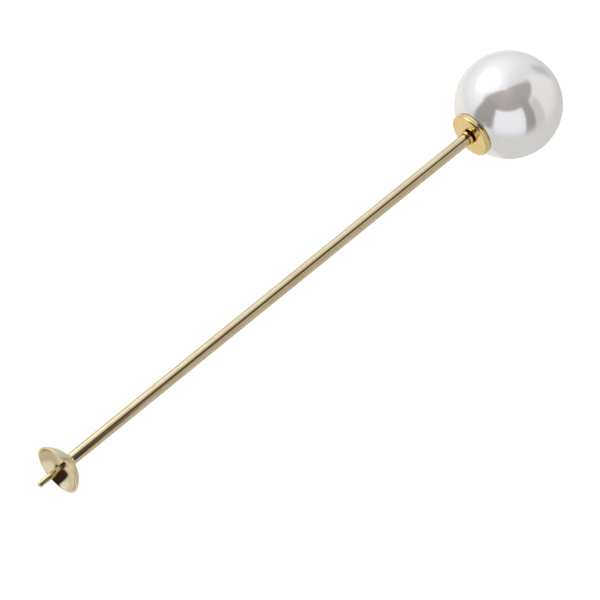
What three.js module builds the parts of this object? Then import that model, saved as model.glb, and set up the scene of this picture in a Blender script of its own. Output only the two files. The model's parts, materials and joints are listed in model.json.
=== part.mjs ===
// Hat pin: a pearl on a pointed needle, closed by a sleeve that carries a cup for a second bead.
//
// Millimetres. The pin's axis is +X, from the tail cup to the pearl, and +Z is up. The origin is on
// the axis, halfway along the sleeve, where the hat's fabric is gripped.

import * as THREE from 'three';

// Driving dimensions
const PEARL_DIAMETER = 12;
const PEARL_BORE = 0.9;
const PEARL_BORE_DEPTH = 6.2;

const WIRE = 0.7; // the needle and the tail peg are the same wire
const NEEDLE_REACH = 50; // from the sleeve's mouth to the point
const NEEDLE_POINT = 4; // length of the ground taper
const NEEDLE_TIP = 0.06; // diameter left at the very point
const NEEDLE_IN_PEARL = 5.9;

const SLEEVE_LENGTH = 60.5;
const SLEEVE_OUTER = 1.42;
const SLEEVE_BORE = 1.1;

const LINER_LENGTH = 14;
const LINER_INSET = 0.6; // from the sleeve's mouth

const CUP_DIAMETER = 6.08;
const CUP_DEPTH = 1.75;
const CUP_SHEET = 0.22;
const CUP_FLAT = 1.9; // diameter of the flat spot that the sleeve stands on
const CUP_CENTRE = 1.2; // the bowl is a slice of an ellipsoid centred this far outside the lip

const PEG_PAST_LIP = 2.8;
const PEG_CUT = THREE.MathUtils.degToRad(14); // the free end is nipped off at this slant
const PEG_PLUG = 6; // length of the thicker shank inside the sleeve

const BRAZE = 0.22; // leg of the fillet between sleeve and cup

const COLLAR_DIAMETER = 1.8;
const COLLAR_LENGTH = 0.36;
const NECK_DIAMETER = 1;
const NECK_LENGTH = 0.14; // keeps the collar off the plate

const PLATE_DIAMETER = 5.24;
const PLATE_HEIGHT = 0.68;
const PLATE_SHEET = 0.18;
const PLATE_CORNER = 0.2;

const FIT = 0.02; // radial clearance of a wire, tube or plug in its bore, and between joined faces
const SEAM = 0.06; // gap left between the closed sleeve and the collar

const AROUND = 48; // facets round the axis

// Stations along X
const MOUTH = SLEEVE_LENGTH / 2;
const CUP_BACK = -SLEEVE_LENGTH / 2;
const LIP = CUP_BACK - CUP_DEPTH;
const COLLAR_FRONT = MOUTH + SEAM;
const NECK_END = COLLAR_FRONT + COLLAR_LENGTH + NECK_LENGTH;
const PLATE_FACE = NECK_END + FIT;
const PLATE_FLOOR = PLATE_FACE + PLATE_SHEET;
const PEARL_CENTRE = PLATE_FLOOR + FIT + PEARL_DIAMETER / 2;

const pin = new THREE.Group();
pin.name = 'hat_pin';

const champagneGold = { color: 0xd2c49c, roughness: 0.22, metalness: 1 };
const yellowGold = { color: 0xdec382, roughness: 0.22, metalness: 1 };
const steel = { color: 0xc4c6c9, roughness: 0.25, metalness: 1 };
const pearl = { color: 0xe4e2de, roughness: 0.2, metalness: 0 };
const silicone = { color: 0xd9dbd8, roughness: 0.6, metalness: 0 };
const epoxy = { color: 0xe2d9b8, roughness: 0.3, metalness: 0 };

// A profile point: distance along the axis, then radius.
const at = (x, radius) => new THREE.Vector2(radius, x);

// Points of an elliptic arc in the profile, from one angle to another. The angle is measured from
// the +X side of the centre towards growing radius.
function arc(centre, alongX, alongRadius, from, to, steps) {
  const points = [];
  for (let i = 0; i <= steps; i++) {
    const angle = from + ((to - from) * i) / steps;
    points.push(at(centre.y + alongX * Math.cos(angle), centre.x + alongRadius * Math.sin(angle)));
  }
  return points;
}

// A turned piece. Its profile runs towards +X along the outside and back along the inside.
function turned(name, profile, look) {
  const piece = new THREE.Mesh(
    new THREE.LatheGeometry(profile, AROUND),
    new THREE.MeshStandardMaterial(look),
  );
  piece.name = name;
  piece.rotation.z = -Math.PI / 2; // the lathe's axis, Y, becomes +X
  pin.add(piece);
  return piece;
}

// Stamped bowl, open towards -X, with a flat lip and a pierced flat spot at its back.
function makeTailCup() {
  const centre = LIP - CUP_CENTRE;
  const halfFlat = CUP_FLAT / 2;
  const lipRadius = CUP_DIAMETER / 2;
  const toBack = CUP_DEPTH + CUP_CENTRE;

  // semi-axes of the ellipsoid that passes through the lip's rim and the edge of the flat spot
  const perRadius = (toBack ** 2 - CUP_CENTRE ** 2)
    / (lipRadius ** 2 * toBack ** 2 - halfFlat ** 2 * CUP_CENTRE ** 2);
  const alongRadius = 1 / Math.sqrt(perRadius);
  const alongX = CUP_CENTRE / Math.sqrt(1 - lipRadius ** 2 * perRadius);

  const wall = (thickness, steps) => {
    const a = alongX - thickness;
    const b = alongRadius - thickness;
    const atLip = Math.acos(CUP_CENTRE / a);
    const atFlat = Math.acos((toBack - thickness) / a);
    return arc(at(centre, 0), a, b, atLip, atFlat, steps);
  };
  const hole = WIRE / 2 + FIT;
  const profile = [
    ...wall(0, 9),
    at(CUP_BACK, hole),
    at(CUP_BACK - CUP_SHEET, hole),
    ...wall(CUP_SHEET, 9).reverse(),
  ];
  profile.push(profile[0].clone());
  turned('tail_cup', profile, champagneGold);
}

// Wire peg for the second bead. Its thicker shank plugs the sleeve and traps the cup.
function makeTailPeg() {
  const radius = WIRE / 2;
  const tip = LIP - PEG_PAST_LIP;
  const shoulder = CUP_BACK + FIT;
  const shank = SLEEVE_BORE / 2 - FIT;
  const chamfer = 0.15;
  const end = shoulder + PEG_PLUG;
  const peg = turned('tail_peg', [
    at(tip, 0),
    at(tip, radius),
    at(shoulder, radius),
    at(shoulder, shank),
    at(end - chamfer, shank),
    at(end, shank - chamfer),
    at(end, 0),
  ], champagneGold);

  // slant the free end: every point of the end face slides along the axis with its height
  const points = peg.geometry.attributes.position;
  for (let i = 0; i < points.count; i++) {
    if (Math.abs(points.getY(i) - tip) < 1e-6) {
      points.setY(i, tip + (points.getZ(i) + radius) * Math.tan(PEG_CUT));
    }
  }
}

// Concave ring of braze in the corner between the sleeve and the cup's back.
function makeBrazeFillet() {
  const root = SLEEVE_OUTER / 2 + FIT;
  const back = CUP_BACK + FIT;
  const curve = arc(at(back + BRAZE, root + BRAZE), BRAZE, BRAZE, Math.PI, 1.5 * Math.PI, 5);
  turned('braze_fillet', [at(back, root), ...curve, at(back, root)], champagneGold);
}

function makeSleeve() {
  const outer = SLEEVE_OUTER / 2;
  const bore = SLEEVE_BORE / 2;
  const lead = 0.06; // rounded mouth
  const start = CUP_BACK + FIT;
  turned('sleeve_tube', [
    at(start, outer),
    at(MOUTH - lead, outer),
    at(MOUTH, outer - lead),
    at(MOUTH, bore + lead / 2),
    at(MOUTH - lead / 2, bore),
    at(start, bore),
    at(start, outer),
  ], champagneGold);
}

// Soft tube inside the sleeve's mouth, which grips the needle.
function makeGripLiner() {
  const outer = SLEEVE_BORE / 2 - FIT;
  const bore = WIRE / 2 + FIT;
  const front = MOUTH - LINER_INSET;
  const lead = 0.1;
  turned('grip_liner', [
    at(front - LINER_LENGTH, outer),
    at(front, outer),
    at(front, bore + lead),
    at(front - lead, bore),
    at(front - LINER_LENGTH, bore),
    at(front - LINER_LENGTH, outer),
  ], silicone);
}

function makeNeedle() {
  const radius = WIRE / 2;
  const tip = MOUTH - NEEDLE_REACH;
  const end = PLATE_FLOOR + NEEDLE_IN_PEARL;
  turned('needle', [
    at(tip, 0),
    at(tip, NEEDLE_TIP / 2),
    at(tip + NEEDLE_POINT * 0.45, radius * 0.62),
    at(tip + NEEDLE_POINT, radius),
    at(end, radius),
    at(end, 0),
  ], steel);
}

// Ring fixed on the needle's root, the stop that the sleeve's mouth closes on. A neck behind it
// meets the plate.
function makeStopCollar() {
  const outer = COLLAR_DIAMETER / 2;
  const neck = NECK_DIAMETER / 2;
  const bore = WIRE / 2 + FIT;
  const edge = 0.08;
  const ringBack = COLLAR_FRONT + COLLAR_LENGTH;
  turned('stop_collar', [
    at(COLLAR_FRONT, outer - edge),
    at(COLLAR_FRONT + edge, outer),
    at(ringBack - edge, outer),
    at(ringBack, outer - edge),
    at(ringBack, neck),
    at(NECK_END, neck),
    at(NECK_END, bore),
    at(COLLAR_FRONT, bore),
    at(COLLAR_FRONT, outer - edge),
  ], yellowGold);
}

// Stamped dish with a flat face towards the sleeve and a rounded wall that rises to the pearl.
function makePearlPlate() {
  const outer = PLATE_DIAMETER / 2;
  const hole = WIRE / 2 + FIT;
  const rim = PLATE_FACE + PLATE_HEIGHT;
  const inside = PLATE_CORNER / 2;
  const outerCorner = at(PLATE_FACE + PLATE_CORNER, outer - PLATE_CORNER);
  const innerCorner = at(PLATE_FLOOR + inside, outer - PLATE_SHEET - inside);
  turned('pearl_plate', [
    at(PLATE_FACE, hole),
    ...arc(outerCorner, PLATE_CORNER, PLATE_CORNER, Math.PI, Math.PI / 2, 4),
    at(rim, outer),
    at(rim, outer - PLATE_SHEET),
    ...arc(innerCorner, inside, inside, Math.PI / 2, Math.PI, 3),
    at(PLATE_FLOOR, hole),
    at(PLATE_FACE, hole),
  ], yellowGold);
}

// Distance along the axis of a sphere round the pearl's centre, on its side towards the plate.
const pearlSurface = (radius, sphere) => PEARL_CENTRE - Math.sqrt(sphere ** 2 - radius ** 2);

// Cured glue: a bed between the dish and the pearl, and a skin round the wire in the pearl's bore.
function makeBeadGlue() {
  const wire = WIRE / 2 + FIT;
  const bore = PEARL_BORE / 2 - FIT;
  const floor = PLATE_FLOOR + FIT;
  const level = PLATE_FLOOR + 0.24;
  const wall = PLATE_DIAMETER / 2 - PLATE_SHEET - FIT;
  const sphere = PEARL_DIAMETER / 2 + FIT;
  const bedEdge = Math.sqrt(sphere ** 2 - (PEARL_CENTRE - level) ** 2);
  const bed = [];
  for (let i = 0; i <= 6; i++) {
    const radius = THREE.MathUtils.lerp(bedEdge, bore, i / 6);
    bed.push(at(Math.max(pearlSurface(radius, sphere), floor + FIT), radius));
  }
  turned('bead_glue', [
    at(floor, wire),
    at(floor, wall - PLATE_CORNER / 2),
    at(floor + PLATE_CORNER / 2, wall),
    at(level, wall),
    ...bed,
    at(PLATE_FLOOR + NEEDLE_IN_PEARL, bore),
    at(PLATE_FLOOR + NEEDLE_IN_PEARL, wire),
    at(floor, wire),
  ], epoxy);
}

// Round bead, drilled half through from the plate's side.
function makePearlBead() {
  const radius = PEARL_DIAMETER / 2;
  const bore = PEARL_BORE / 2;
  const atBore = Math.asin(bore / radius);
  const pole = pearlSurface(bore, radius);
  const centre = at(PEARL_CENTRE, 0);
  turned('pearl_bead', [
    at(pole + PEARL_BORE_DEPTH, 0),
    at(pole + PEARL_BORE_DEPTH, bore),
    ...arc(centre, radius, radius, Math.PI - atBore, Math.PI / 2, 12),
    ...arc(centre, radius, radius, Math.PI / 2, 0, 12).slice(1),
  ], pearl);
}

makeTailCup();
makeTailPeg();
makeBrazeFillet();
makeSleeve();
makeGripLiner();
makeNeedle();
makeStopCollar();
makePearlPlate();
makeBeadGlue();
makePearlBead();

export default pin;
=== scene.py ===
"""Looks of the hat pin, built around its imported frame.

Metres, in the frame's own axes: +X runs along the pin from the tail cup to the pearl, +Z is up, and
the origin is on the pin's axis, halfway along the sleeve. Every piece is turned about that axis.
"""

import json
import math

import bmesh
import bpy
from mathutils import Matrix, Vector


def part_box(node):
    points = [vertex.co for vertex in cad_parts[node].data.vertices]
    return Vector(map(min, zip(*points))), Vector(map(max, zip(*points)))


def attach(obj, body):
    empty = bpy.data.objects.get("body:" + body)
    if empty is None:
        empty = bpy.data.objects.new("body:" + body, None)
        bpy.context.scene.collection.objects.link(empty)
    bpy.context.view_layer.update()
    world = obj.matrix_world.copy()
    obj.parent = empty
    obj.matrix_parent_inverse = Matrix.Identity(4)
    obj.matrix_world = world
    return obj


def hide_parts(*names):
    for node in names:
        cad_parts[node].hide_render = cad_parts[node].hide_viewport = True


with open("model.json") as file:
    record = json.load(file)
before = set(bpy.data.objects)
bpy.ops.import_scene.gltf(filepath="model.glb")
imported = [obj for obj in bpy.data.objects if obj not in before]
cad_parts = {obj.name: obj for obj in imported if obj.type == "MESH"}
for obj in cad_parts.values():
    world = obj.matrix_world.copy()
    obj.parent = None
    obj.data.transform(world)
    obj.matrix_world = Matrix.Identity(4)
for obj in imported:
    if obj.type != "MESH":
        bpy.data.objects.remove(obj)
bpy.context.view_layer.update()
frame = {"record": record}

MM = 0.001
AROUND = 144  # facets round the axis

# Sizes that the nodes' boxes don't give
WIRE = 0.35 * MM  # radius of the needle and of the peg
HOLE = 0.37 * MM  # radius of the holes that the wires pass through
SLEEVE_BORE = 0.55 * MM  # radius
FIT = 0.02 * MM  # gap left round a wire, tube or bead
CUP_SHEET = 0.22 * MM
CUP_FLAT = 0.95 * MM  # radius of the flat spot at the cup's back
CUP_CENTRE = 1.2 * MM  # the bowl is a slice of an ellipsoid centred this far outside the lip
PEG_CUT = math.radians(14)  # slant of the peg's nipped end
NEEDLE_POINT = 4 * MM  # length of the ground taper
COLLAR_NECK = 0.5 * MM  # radius
COLLAR_RING = 0.36 * MM  # length of the collar in front of its neck
PLATE_SHEET = 0.18 * MM
PLATE_CORNER = 0.2 * MM
PLATE_WAIST = 0.42 * MM  # from the plate's face to the narrowest part of its wall
GLUE_LEVEL = 0.22 * MM  # height of the glue in the dish
PEARL_BORE = 0.45 * MM  # radius
PEARL_BORE_DEPTH = 6.2 * MM


# ---------------------------------------------------------------- camera

CAMERA_AZIMUTH = math.radians(-45.07)
CAMERA_ELEVATION = math.radians(54.15)
CAMERA_DISTANCE = 972.5 * MM
CAMERA_AIM = Vector((2.13, -2.48, 0)) * MM
CAMERA_LENS = 540


def make_camera():
    """Long lens looking down on the pin from the left, level with the horizon."""
    flat = math.cos(CAMERA_ELEVATION)
    back = Vector((
        math.sin(CAMERA_AZIMUTH) * flat,
        -math.cos(CAMERA_AZIMUTH) * flat,
        math.sin(CAMERA_ELEVATION),
    ))
    data = bpy.data.cameras.new("camera")
    data.sensor_width = 36
    data.lens = CAMERA_LENS
    data.clip_start = 0.05
    data.clip_end = 10
    camera = bpy.data.objects.new("camera", data)
    camera.location = CAMERA_AIM + back * CAMERA_DISTANCE
    camera.rotation_mode = "QUATERNION"
    camera.rotation_quaternion = (-back).to_track_quat("-Z", "Y")
    bpy.context.collection.objects.link(camera)
    bpy.context.scene.camera = camera


# ---------------------------------------------------------------- turned pieces


def span(node):
    """Where a node starts and ends along the axis, and its largest radius."""
    low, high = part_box(node)
    return low.x, high.x, high.z


def rounded(corners, steps=6):
    """Outline through corners given as (x, radius, ease). Each is rounded off over the length ease."""
    outline = []
    for i, (x, radius, ease) in enumerate(corners):
        corner = Vector((x, radius))
        if not ease:
            outline.append(corner)
            continue
        before = Vector(corners[i - 1][:2]) - corner
        after = Vector(corners[(i + 1) % len(corners)][:2]) - corner
        start = corner + before.normalized() * ease
        end = corner + after.normalized() * ease
        for step in range(steps + 1):
            t = step / steps
            outline.append(start * (1 - t) ** 2 + corner * 2 * t * (1 - t) + end * t ** 2)
    return outline


def ellipse_arc(centre, along_x, along_radius, start, end, steps):
    """Points (x, radius, 0) of an elliptic arc. The angle is measured from +X towards the radius."""
    points = []
    for step in range(steps + 1):
        angle = start + (end - start) * step / steps
        x = centre[0] + along_x * math.cos(angle)
        radius = centre[1] + along_radius * math.sin(angle)
        points.append((x, radius, 0))
    return points


def turned(name, outline, closed=True, wobble=None):
    """Turns an outline about the X axis. An outline that isn't closed starts and ends on the axis.

    wobble(angle) is the share of its radius that a point gains, for a piece that isn't quite round.
    """
    form = bmesh.new()
    rings = []
    for x, radius in outline:
        if radius < 1e-7:
            rings.append([form.verts.new((x, 0, 0))] * AROUND)
            continue
        ring = []
        for step in range(AROUND):
            angle = 2 * math.pi * step / AROUND
            reach = radius * (1 + wobble(angle)) if wobble else radius
            ring.append(form.verts.new((x, reach * math.sin(angle), reach * math.cos(angle))))
        rings.append(ring)
    following = rings[1:] + rings[:1] if closed else rings[1:]
    for ring, other in zip(rings, following):
        for i in range(AROUND):
            j = (i + 1) % AROUND
            corners = list(dict.fromkeys((ring[i], ring[j], other[j], other[i])))
            form.faces.new(corners)
    bmesh.ops.recalc_face_normals(form, faces=form.faces)
    for face in form.faces:
        face.smooth = True
    mesh = bpy.data.meshes.new(name)
    form.to_mesh(mesh)
    form.free()
    piece = bpy.data.objects.new(name, mesh)
    bpy.context.collection.objects.link(piece)
    return piece


def stands_for(piece, node, material):
    """Puts a piece in the place of a node, on the same body and with the finish it is given."""
    record = frame["record"]
    bodies = record["behaviour"]["bodies"]
    body = next(name for name, members in bodies.items() if node in members)
    piece.data.materials.append(material)
    crisp = piece.modifiers.new("crisp_flats", "WEIGHTED_NORMAL")
    crisp.keep_sharp = True
    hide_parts(node)
    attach(piece, body)


def make_cup(material):
    """Stamped bowl with a flat, eased lip and a pierced flat spot behind."""
    lip, back, lip_radius = span("tail_cup")
    centre = lip - CUP_CENTRE
    to_back = back - centre
    per_radius = (to_back ** 2 - CUP_CENTRE ** 2) / (
        lip_radius ** 2 * to_back ** 2 - CUP_FLAT ** 2 * CUP_CENTRE ** 2
    )
    along_radius = 1 / math.sqrt(per_radius)
    along_x = CUP_CENTRE / math.sqrt(1 - lip_radius ** 2 * per_radius)

    def wall(sheet):
        a = along_x - sheet
        at_lip = math.acos(CUP_CENTRE / a)
        at_flat = math.acos((to_back - sheet) / a)
        return ellipse_arc((centre, 0), a, along_radius - sheet, at_lip, at_flat, 24)

    outside = wall(0)
    inside = wall(CUP_SHEET)[::-1]
    ease = 0.1 * MM
    outside[0] = outside[0][:2] + (ease,)
    inside[-1] = inside[-1][:2] + (ease,)
    corners = outside + [(back, HOLE, 0.04 * MM), (back - CUP_SHEET, HOLE, 0.04 * MM)] + inside
    stands_for(turned("cup_bowl", rounded(corners)), "tail_cup", material)


def make_peg(material):
    """Wire peg, nipped off at a slant, on the thicker shank that plugs the sleeve."""
    tip, end, shank = span("tail_peg")
    shoulder = span("sleeve_tube")[0]
    blend = 0.1 * MM  # the slant fades out over this length
    corners = [
        (tip, 0, 0),
        (tip, WIRE, 0.05 * MM),
        (tip + 0.4 * MM, WIRE, 0),
        (shoulder, WIRE, 0.02 * MM),
        (shoulder, shank, 0.05 * MM),
        (end, shank, 0.15 * MM),
        (end, 0, 0),
    ]
    peg = turned("peg_wire", rounded(corners), closed=False)
    for vertex in peg.data.vertices:
        near_tip = 1 - min((vertex.co.x - tip) / blend, 1)
        vertex.co.x += near_tip * (WIRE - vertex.co.z) * math.tan(PEG_CUT)
    stands_for(peg, "tail_peg", material)


def make_braze(material):
    """Concave ring of braze between the sleeve and the cup's back, a little uneven all round."""
    back, front, outer = span("braze_fillet")
    root = span("sleeve_tube")[2] + FIT
    leg = front - back
    curve = ellipse_arc((back + leg, root + leg), leg, outer - root, math.pi, 1.5 * math.pi, 10)
    outline = [Vector((x, radius)) for x, radius, _ in [(back, root, 0)] + curve]

    def uneven(angle):
        return -0.012 + 0.007 * math.sin(3 * angle + 0.6) + 0.005 * math.sin(7 * angle + 2)

    stands_for(turned("braze_ring", outline, wobble=uneven), "braze_fillet", material)


def make_sleeve(material):
    """Plain drawn tube with a rounded mouth."""
    start, mouth, outer = span("sleeve_tube")
    corners = [
        (start, outer, 0.03 * MM),
        (mouth, outer, 0.06 * MM),
        (mouth, SLEEVE_BORE, 0.05 * MM),
        (start, SLEEVE_BORE, 0.02 * MM),
    ]
    stands_for(turned("sleeve_body", rounded(corners)), "sleeve_tube", material)


def make_liner(material):
    """Soft tube inside the sleeve's mouth."""
    start, front, outer = span("grip_liner")
    corners = [
        (start, outer, 0.04 * MM),
        (front, outer, 0.04 * MM),
        (front, HOLE, 0.07 * MM),
        (start, HOLE, 0.04 * MM),
    ]
    stands_for(turned("liner_tube", rounded(corners)), "grip_liner", material)


def make_needle(material):
    """Round wire, ground to a point."""
    tip, end, radius = span("needle")
    centre = (tip + NEEDLE_POINT, 0)
    grind = ellipse_arc(centre, NEEDLE_POINT, radius, math.pi, math.pi / 2, 24)
    corners = grind + [(end, radius, 0.05 * MM), (end, 0, 0)]
    stands_for(turned("needle_wire", rounded(corners), closed=False), "needle", material)


def make_collar(material):
    """Stop ring on the needle's root, on a neck that keeps it off the plate."""
    front, back, outer = span("stop_collar")
    ring_back = front + COLLAR_RING
    corners = [
        (front, outer, 0.12 * MM),
        (ring_back, outer, 0.12 * MM),
        (ring_back, COLLAR_NECK, 0.03 * MM),
        (back, COLLAR_NECK, 0.02 * MM),
        (back, HOLE, 0.02 * MM),
        (front, HOLE, 0.03 * MM),
    ]
    stands_for(turned("collar_ring", rounded(corners)), "stop_collar", material)


def make_plate(material):
    """Stamped dish: flat face, rounded shoulder, waisted wall and an eased rim under the pearl."""
    face, rim, outer = span("pearl_plate")
    centre = (face + PLATE_CORNER, outer - PLATE_CORNER)
    corner = ellipse_arc(centre, PLATE_CORNER, PLATE_CORNER, math.pi, math.pi / 2, 10)
    floor = face + PLATE_SHEET
    wall = outer - PLATE_SHEET
    corners = [(face, HOLE, 0.03 * MM)] + corner + [
        (face + PLATE_WAIST, outer - 0.035 * MM, 0.05 * MM),
        (rim, outer, 0.06 * MM),
        (rim, wall, 0.04 * MM),
        (floor, wall, 0.1 * MM),
        (floor, HOLE, 0.03 * MM),
    ]
    stands_for(turned("plate_dish", rounded(corners)), "pearl_plate", material)


def make_glue(material):
    """Cured glue in the dish under the pearl, and round the wire in the pearl's bore."""
    floor, end, wall = span("bead_glue")
    _, pearl_end, pearl_radius = span("pearl_bead")
    bore = PEARL_BORE - FIT
    sphere = pearl_radius + FIT
    centre = pearl_end - pearl_radius
    level = floor + GLUE_LEVEL
    edge = math.sqrt(sphere ** 2 - (centre - level) ** 2)
    bed = []
    for step in range(17):
        radius = edge + (bore - edge) * step / 16
        x = centre - math.sqrt(sphere ** 2 - radius ** 2)
        bed.append((max(x, floor + FIT), radius, 0))
    corners = [
        (floor, HOLE, 0),
        (floor, wall, 0.1 * MM),
        (level, wall, 0.06 * MM),
        *bed,
        (end, bore, 0),
        (end, HOLE, 0),
    ]
    stands_for(turned("glue_bed", rounded(corners)), "bead_glue", material)


def make_pearl(material):
    """Round bead with a half-drilled bore whose edge is eased."""
    start, end, radius = span("pearl_bead")
    centre = end - radius
    ease = 0.05 * MM
    at_bore = math.asin((PEARL_BORE + ease) / radius)
    bore_end = start + PEARL_BORE_DEPTH
    skin = ellipse_arc((centre, 0), radius, radius, math.pi - at_bore, 0, 120)
    corners = [
        (bore_end, 0, 0),
        (bore_end, PEARL_BORE, 0.1 * MM),
        (start + ease, PEARL_BORE, 0),
        *skin[:-1],
        (end, 0, 0),
    ]
    stands_for(turned("bead_body", rounded(corners), closed=False), "pearl_bead", material)


# ---------------------------------------------------------------- materials


class Recipe:
    """A material being put together out of nodes."""

    def __init__(self, name):
        self.material = bpy.data.materials.new(name)
        self.material.use_nodes = True
        self.tree = self.material.node_tree
        self.shader = self.tree.nodes["Principled BSDF"]

    def add(self, kind, inputs, output=0, **settings):
        """Adds a node. Inputs are values or the outputs of other nodes. Returns one of its outputs."""
        node = self.tree.nodes.new("ShaderNode" + kind)
        for setting, value in settings.items():
            setattr(node, setting, value)
        for socket, value in inputs.items():
            if isinstance(value, bpy.types.NodeSocket):
                self.tree.links.new(value, node.inputs[socket])
            else:
                node.inputs[socket].default_value = value
        return node.outputs[output]

    def math(self, operation, *values):
        return self.add("Math", dict(enumerate(values)), operation=operation)

    def stretched(self, x, y, z):
        """The place on the object in metres, with each axis scaled."""
        place = self.add("TexCoord", {}, output="Object")
        return self.add("Mapping", {"Vector": place, "Scale": (x, y, z)})

    def noise(self, vector, scale, detail=2, roughness=0.5):
        inputs = {"Vector": vector, "Scale": scale, "Detail": detail, "Roughness": roughness}
        return self.add("TexNoise", inputs, output="Fac")

    def ramp(self, value, low, high, low_out=0.0, high_out=1.0, interpolation="LINEAR"):
        inputs = {"Value": value, 1: low, 2: high, 3: low_out, 4: high_out}
        return self.add("MapRange", inputs, interpolation_type=interpolation)

    def blend(self, fac, first, second):
        """Colour between two colours."""
        node = self.tree.nodes.new("ShaderNodeMix")
        node.data_type = "RGBA"
        for socket, value in zip((node.inputs[0], node.inputs[6], node.inputs[7]), (fac, first, second)):
            if isinstance(value, bpy.types.NodeSocket):
                self.tree.links.new(value, socket)
            else:
                socket.default_value = value
        return node.outputs[2]

    def bump(self, height, depth, normal=None):
        """Surface normal for a height map whose full range is depth, in metres."""
        inputs = {"Height": height, "Distance": depth, "Strength": 1.0}
        if normal:
            inputs["Normal"] = normal
        return self.add("Bump", inputs)

    def finish(self, colour, roughness, normal, **constants):
        """Links what varies over the surface and sets the rest on the shader itself."""
        for socket, value in {"Base Color": colour, "Roughness": roughness, "Normal": normal}.items():
            self.tree.links.new(value, self.shader.inputs[socket])
        for socket, value in constants.items():
            self.shader.inputs[socket.replace("_", " ")].default_value = value
        return self.material


CREVICE_PAINTED_SHADE = (0.05, 0.035, 0.02, 1)  # painted shade: the dark colour given to crevices


def plated_metal(name, bright, dull, roughness, lines):
    """Polished plating.

    Its tone drifts softly, and shade is painted into the crevices by darkening the colour there.
    Drawing lines run along the pin, as deep as lines, and the polish is faintly worn.
    """
    recipe = Recipe(name)
    even = recipe.stretched(1, 1, 1)
    along = recipe.stretched(0.02, 1, 1)
    drift = recipe.noise(even, 420, detail=3)
    stain = recipe.noise(even, 2600, detail=4, roughness=0.6)
    tone = recipe.ramp(recipe.math("MULTIPLY_ADD", stain, 0.35, drift), 0.45, 0.95)
    colour = recipe.blend(tone, bright, dull)
    # painted shade: the colour darkens where ambient occlusion finds crevices
    open_air = recipe.add("AmbientOcclusion", {"Distance": 0.3 * MM}, output="AO")
    colour = recipe.blend(recipe.ramp(open_air, 0.25, 0.75), CREVICE_PAINTED_SHADE, colour)

    drawn = recipe.noise(along, 9000, detail=2)
    polish = recipe.math("MULTIPLY_ADD", drawn, 0.4, stain)
    rough = recipe.ramp(polish, 0.4, 1.0, roughness * 0.75, roughness * 1.5)

    swell = recipe.noise(even, 330, detail=1)
    normal = recipe.bump(swell, 1.2e-6)
    normal = recipe.bump(drawn, lines, normal)
    normal = recipe.bump(stain, 0.12e-6, normal)
    return recipe.finish(colour, rough, normal, Metallic=1.0)


def pearl_lacquer():
    """Nacre lacquer: half mirror, half white body, with faint clouds and the dimples of its dips."""
    recipe = Recipe("pearl_lacquer")
    even = recipe.stretched(1, 1, 1)
    cloud = recipe.noise(even, 260, detail=3)
    grain = recipe.noise(even, 2400, detail=3, roughness=0.6)
    colour = recipe.blend(
        recipe.ramp(cloud, 0.35, 0.65), (0.83, 0.80, 0.78, 1), (0.80, 0.79, 0.78, 1)
    )
    rough = recipe.ramp(grain, 0.35, 0.65, 0.11, 0.15)
    normal = recipe.bump(cloud, 4e-6)
    normal = recipe.bump(grain, 0.15e-6, normal)
    return recipe.finish(
        colour, rough, normal, Metallic=0.68, Coat_Weight=0.35, Coat_Roughness=0.04
    )


def ground_steel():
    """Bare steel wire, ground round its length and polished bright."""
    recipe = Recipe("needle_steel")
    rings = recipe.noise(recipe.stretched(1, 0.1, 0.1), 9000, detail=3)
    drift = recipe.noise(recipe.stretched(1, 1, 1), 700, detail=3)
    colour = recipe.blend(drift, (0.60, 0.61, 0.62, 1), (0.50, 0.50, 0.51, 1))
    rough = recipe.ramp(rings, 0.3, 0.7, 0.16, 0.3)
    return recipe.finish(colour, rough, recipe.bump(rings, 0.6e-6), Metallic=1.0)


def soft_silicone():
    """Matt, milky silicone with a fine moulded grain."""
    recipe = Recipe("liner_silicone")
    grain = recipe.noise(recipe.stretched(1, 1, 1), 6000, detail=3)
    colour = recipe.blend(grain, (0.72, 0.72, 0.70, 1), (0.62, 0.62, 0.60, 1))
    rough = recipe.ramp(grain, 0.3, 0.7, 0.5, 0.7)
    return recipe.finish(colour, rough, recipe.bump(grain, 2e-6), Subsurface_Weight=0.3)


def cured_glue():
    """Clear glue, slightly yellow, with a rippled skin."""
    recipe = Recipe("cured_glue")
    ripple = recipe.noise(recipe.stretched(1, 1, 1), 2200, detail=2)
    colour = recipe.blend(ripple, (0.80, 0.75, 0.56, 1), (0.72, 0.64, 0.42, 1))
    rough = recipe.ramp(ripple, 0.3, 0.7, 0.12, 0.3)
    return recipe.finish(colour, rough, recipe.bump(ripple, 8e-6), Transmission_Weight=0.4)


# ---------------------------------------------------------------- studio

TENT_RADIUS = 0.25
TABLE_LEVEL = -0.06

# Cards and gaps of the light tent, as seen from the pin, each laid over those before it:
# azimuth and elevation of its middle, half its width and height and the width of its soft edge, all
# in degrees, the degrees it slants in azimuth for each one it rises, then its colour
TENT_CARDS = (
    (95, 50, 60, 36, 60, 0, (1.05, 1.08, 1.12, 1)),  # softbox, spreading over its side of the tent
    (92, 46, 17, 12, 34, 0, (4.5, 4.5, 4.5, 1)),  # its bright middle
    (-117, 75, 104, 38, 16, 0, (0.14, 0.10, 0.08, 1)),  # open top on the camera's side
    (-116, 86, 90, 10, 16, 0, (0.25, 0.20, 0.18, 1)),  # ceiling far above it
    (171, 23, 24, 32, 10, 0, (0.03, 0.02, 0.02, 1)),  # open left end
    (-31, 2, 30, 38, 4, 0, (0.80, 0.81, 0.79, 1)),  # white card on the right
    (-63, -6, 10, 42, 8, 0.15, (0.51, 0.49, 0.47, 1)),  # edge of the white card, in shade
    (-121.5, -4, 38, 46, 4, -0.16, (0.88, 0.91, 0.98, 1)),  # window
    (-81, 15, 10.5, 40, 4, 0.17, (0.06, 0.045, 0.035, 1)),  # gap between the card and the window
    (0, -52, 180, 38, 28, 0, (0.60, 0.59, 0.57, 1)),  # table
    (110, -52, 80, 38, 24, 0, (0.84, 0.83, 0.80, 1)),  # table under the softbox
    (7, 2, 6, 14, 9, 0, (0.38, 0.38, 0.40, 1)),  # seam in the tent
)
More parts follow.
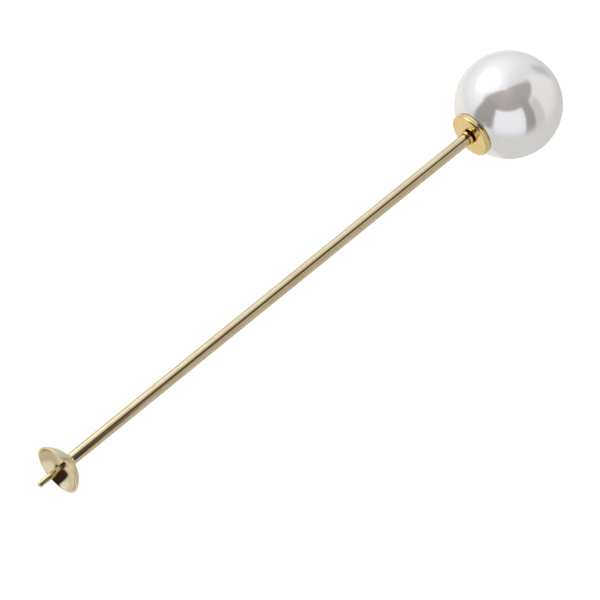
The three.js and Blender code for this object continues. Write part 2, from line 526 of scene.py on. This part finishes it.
TENT_CLOTH = (0.66, 0.70, 0.75, 1)


def card_mask(recipe, azimuth, elevation, card):
    """1 inside a card, 0 outside, with a soft edge."""
    middle_azimuth, middle_elevation, half_width, half_height, soft, slant, _ = card
    rise = recipe.math("SUBTRACT", elevation, math.radians(middle_elevation))
    azimuth = recipe.math("MULTIPLY_ADD", rise, -slant, azimuth)
    edges = []
    for angle, middle, half in (
        (azimuth, middle_azimuth, half_width),
        (elevation, middle_elevation, half_height),
    ):
        away = recipe.math("SUBTRACT", angle, math.radians(middle))
        away = recipe.math("ABSOLUTE", recipe.math("WRAP", away, -math.pi, math.pi))
        start, end = math.radians(half + soft / 2), math.radians(half - soft / 2)
        edges.append(recipe.ramp(away, start, end, interpolation="SMOOTHSTEP"))
    return recipe.math("MULTIPLY", *edges)


def tent_material():
    recipe = Recipe("light_tent")
    recipe.tree.nodes.remove(recipe.shader)
    place = recipe.add("TexCoord", {}, output="Object")
    split = recipe.tree.nodes.new("ShaderNodeSeparateXYZ")
    recipe.tree.links.new(place, split.inputs[0])
    x, y, z = split.outputs
    azimuth = recipe.math("ARCTAN2", y, x)
    elevation = recipe.math("ARCSINE", recipe.math("DIVIDE", z, TENT_RADIUS))
    colour = TENT_CLOTH
    for card in TENT_CARDS:
        colour = recipe.blend(card_mask(recipe, azimuth, elevation, card), colour, card[-1])
    glow = recipe.add("Emission", {"Color": colour})
    output = recipe.tree.nodes["Material Output"]
    recipe.tree.links.new(glow, output.inputs["Surface"])
    return recipe.material


def make_tent():
    """Light tent round the pin. Only reflections see it."""
    form = bmesh.new()
    bmesh.ops.create_icosphere(form, subdivisions=6, radius=TENT_RADIUS)
    mesh = bpy.data.meshes.new("light_tent")
    form.to_mesh(mesh)
    form.free()
    mesh.materials.append(tent_material())
    tent = bpy.data.objects.new("light_tent", mesh)
    bpy.context.collection.objects.link(tent)
    tent.visible_camera = False
    tent.visible_diffuse = False
    tent.visible_shadow = False
    tent.visible_transmission = False


def make_floor():
    """Pale table, far enough below the pin for its shadow to fade out."""
    half = 2.0
    mesh = bpy.data.meshes.new("table")
    square = [(-half, -half, 0), (half, -half, 0), (half, half, 0), (-half, half, 0)]
    mesh.from_pydata(square, [], [(0, 1, 2, 3)])
    recipe = Recipe("table_paper")
    tooth = recipe.noise(recipe.stretched(1, 1, 1), 300, detail=3)
    colour = recipe.blend(tooth, (0.90, 0.90, 0.90, 1), (0.88, 0.88, 0.88, 1))
    rough = recipe.ramp(tooth, 0, 1, 0.8, 0.9)
    mesh.materials.append(recipe.finish(colour, rough, recipe.bump(tooth, 1e-5)))
    table = bpy.data.objects.new("table", mesh)
    table.location.z = TABLE_LEVEL
    table.visible_glossy = False
    bpy.context.collection.objects.link(table)


def make_light(name, place, size, power):
    """Soft square light aimed at the middle of the pin."""
    data = bpy.data.lights.new(name, "AREA")
    data.size = size
    data.energy = power
    light = bpy.data.objects.new(name, data)
    light.location = place
    light.rotation_mode = "QUATERNION"
    light.rotation_quaternion = (-Vector(place)).to_track_quat("-Z", "Y")
    light.visible_glossy = False
    bpy.context.collection.objects.link(light)


def make_world():
    world = bpy.data.worlds.new("studio")
    bpy.context.scene.world = world
    world.use_nodes = True
    background = world.node_tree.nodes["Background"]
    background.inputs["Color"].default_value = (1, 1, 1, 1)
    background.inputs["Strength"].default_value = 1.0
    world.cycles_visibility.glossy = False
    bpy.context.scene.view_settings.view_transform = "Standard"


# ---------------------------------------------------------------- the scene

make_camera()

champagne = plated_metal(
    "champagne_gold", (0.85, 0.74, 0.49, 1), (0.75, 0.62, 0.37, 1), roughness=0.07, lines=0.12e-6
)
yellow = plated_metal(
    "yellow_gold", (0.90, 0.70, 0.33, 1), (0.84, 0.60, 0.24, 1), roughness=0.08, lines=0.02e-6
)
make_cup(champagne)
wire = plated_metal(
    "champagne_gold_wire", (0.84, 0.72, 0.44, 1), (0.76, 0.62, 0.34, 1), roughness=0.2, lines=0.08e-6
)
make_peg(wire)
make_braze(champagne)
make_sleeve(champagne)
make_liner(soft_silicone())
make_needle(ground_steel())
make_collar(yellow)
make_plate(yellow)
make_glue(cured_glue())
make_pearl(pearl_lacquer())

make_tent()
make_floor()
make_light("key", (0.1, 0.9, 0.9), 0.8, 8)
make_light("fill", (-0.9, -0.5, 0.7), 1.2, 3)
make_world()
